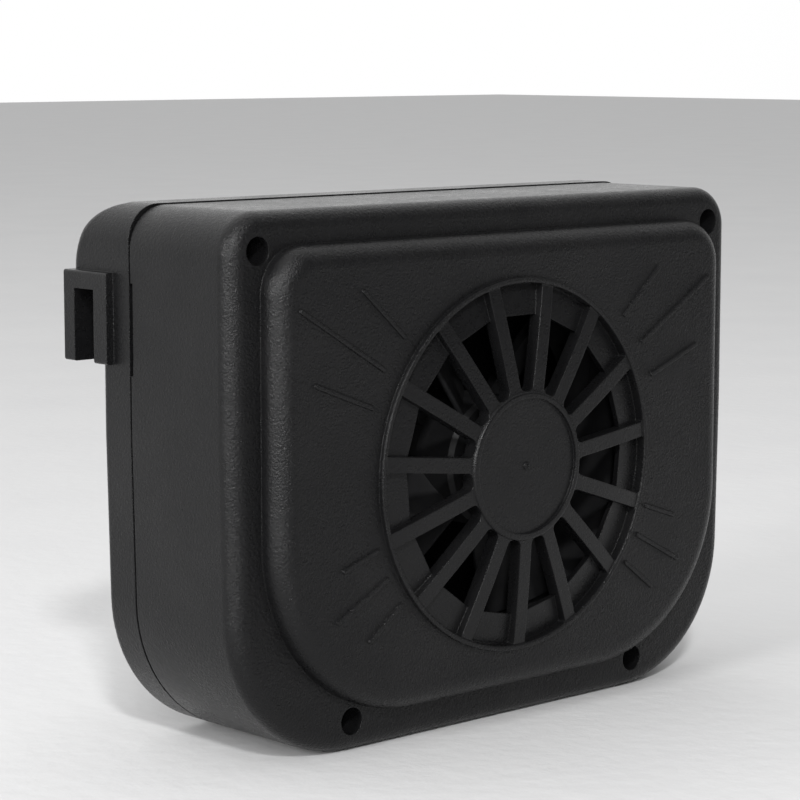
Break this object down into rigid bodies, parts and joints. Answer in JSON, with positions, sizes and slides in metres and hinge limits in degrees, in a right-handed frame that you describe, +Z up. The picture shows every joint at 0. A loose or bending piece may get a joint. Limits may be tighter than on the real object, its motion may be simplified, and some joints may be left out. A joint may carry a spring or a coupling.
{
  "type": "solar car window ventilator",
  "caption": "Solar ventilator that hangs on a car's side window: round fan grille on the cabin side, slot for the pane, outdoor hood with solar panel and outlet louvres.",
  "frame": {"origin": "middle of the flat base, under the middle of the whole part's box", "axes": "+Z up, +X to the right seen from the cabin, -Y out of the fan grille into the cabin, +Y outdoors"},
  "size_m": [0.164, 0.08, 0.1219],
  "materials": {
    "shell_plastic": "fine textured charcoal moulding",
    "hood_plastic": "fine textured charcoal moulding",
    "duct_plastic": "plain black moulding",
    "impeller_plastic": "satin black moulding",
    "zinc_steel": "zinc plated",
    "black_steel": "blackened",
    "can_steel": "drawn and nickel plated",
    "shaft_steel": "ground",
    "core_steel": "laminated",
    "magnet_ferrite": "sintered dark grey",
    "bush_bronze": "sintered bronze",
    "copper": "enamelled copper",
    "commutator_copper": "bare copper",
    "terminal_brass": "tinned brass",
    "end_cap_plastic": "natural nylon",
    "backing_board": "dark green board",
    "cell_silicon": "dark blue-black silicon",
    "ribbon_silver": "tinned flat ribbon",
    "cover_clear": "clear acrylic, polished",
    "solder": "bright solder",
    "lead_red": "soft red insulation",
    "lead_black": "soft black insulation"
  },
  "bodies": {
    "housing": {"front_shell": "shell_plastic", "rear_shell": "shell_plastic", "outdoor_hood": "hood_plastic", "solar_backing": "backing_board", "solar_cells": "cell_silicon", "cell_ribbons": "ribbon_silver", "solar_cover": "cover_clear", "fan_duct": "duct_plastic", "motor_can": "can_steel", "motor_end_cap": "end_cap_plastic", "motor_terminals": "terminal_brass", "motor_brushes": "terminal_brass", "motor_front_bush": "bush_bronze", "motor_rear_bush": "bush_bronze", "motor_magnets": "magnet_ferrite", "housing_screws": "black_steel", "duct_screws": "zinc_steel", "motor_screws": "zinc_steel", "hood_screws": "black_steel", "solder_joints": "solder", "lead_positive": "lead_red", "lead_negative": "lead_black"},
    "rotor": {"impeller": "impeller_plastic", "motor_shaft": "shaft_steel", "motor_armature_core": "core_steel", "motor_windings": "copper", "motor_commutator": "commutator_copper"}
  },
  "joints": [
    {"name": "fan_spin", "type": "hinge", "parent": "housing", "child": "rotor", "pos_m": [0, -0.0239, 0.0608], "axis": [0, 1, 0], "continuous": true}
  ]
}
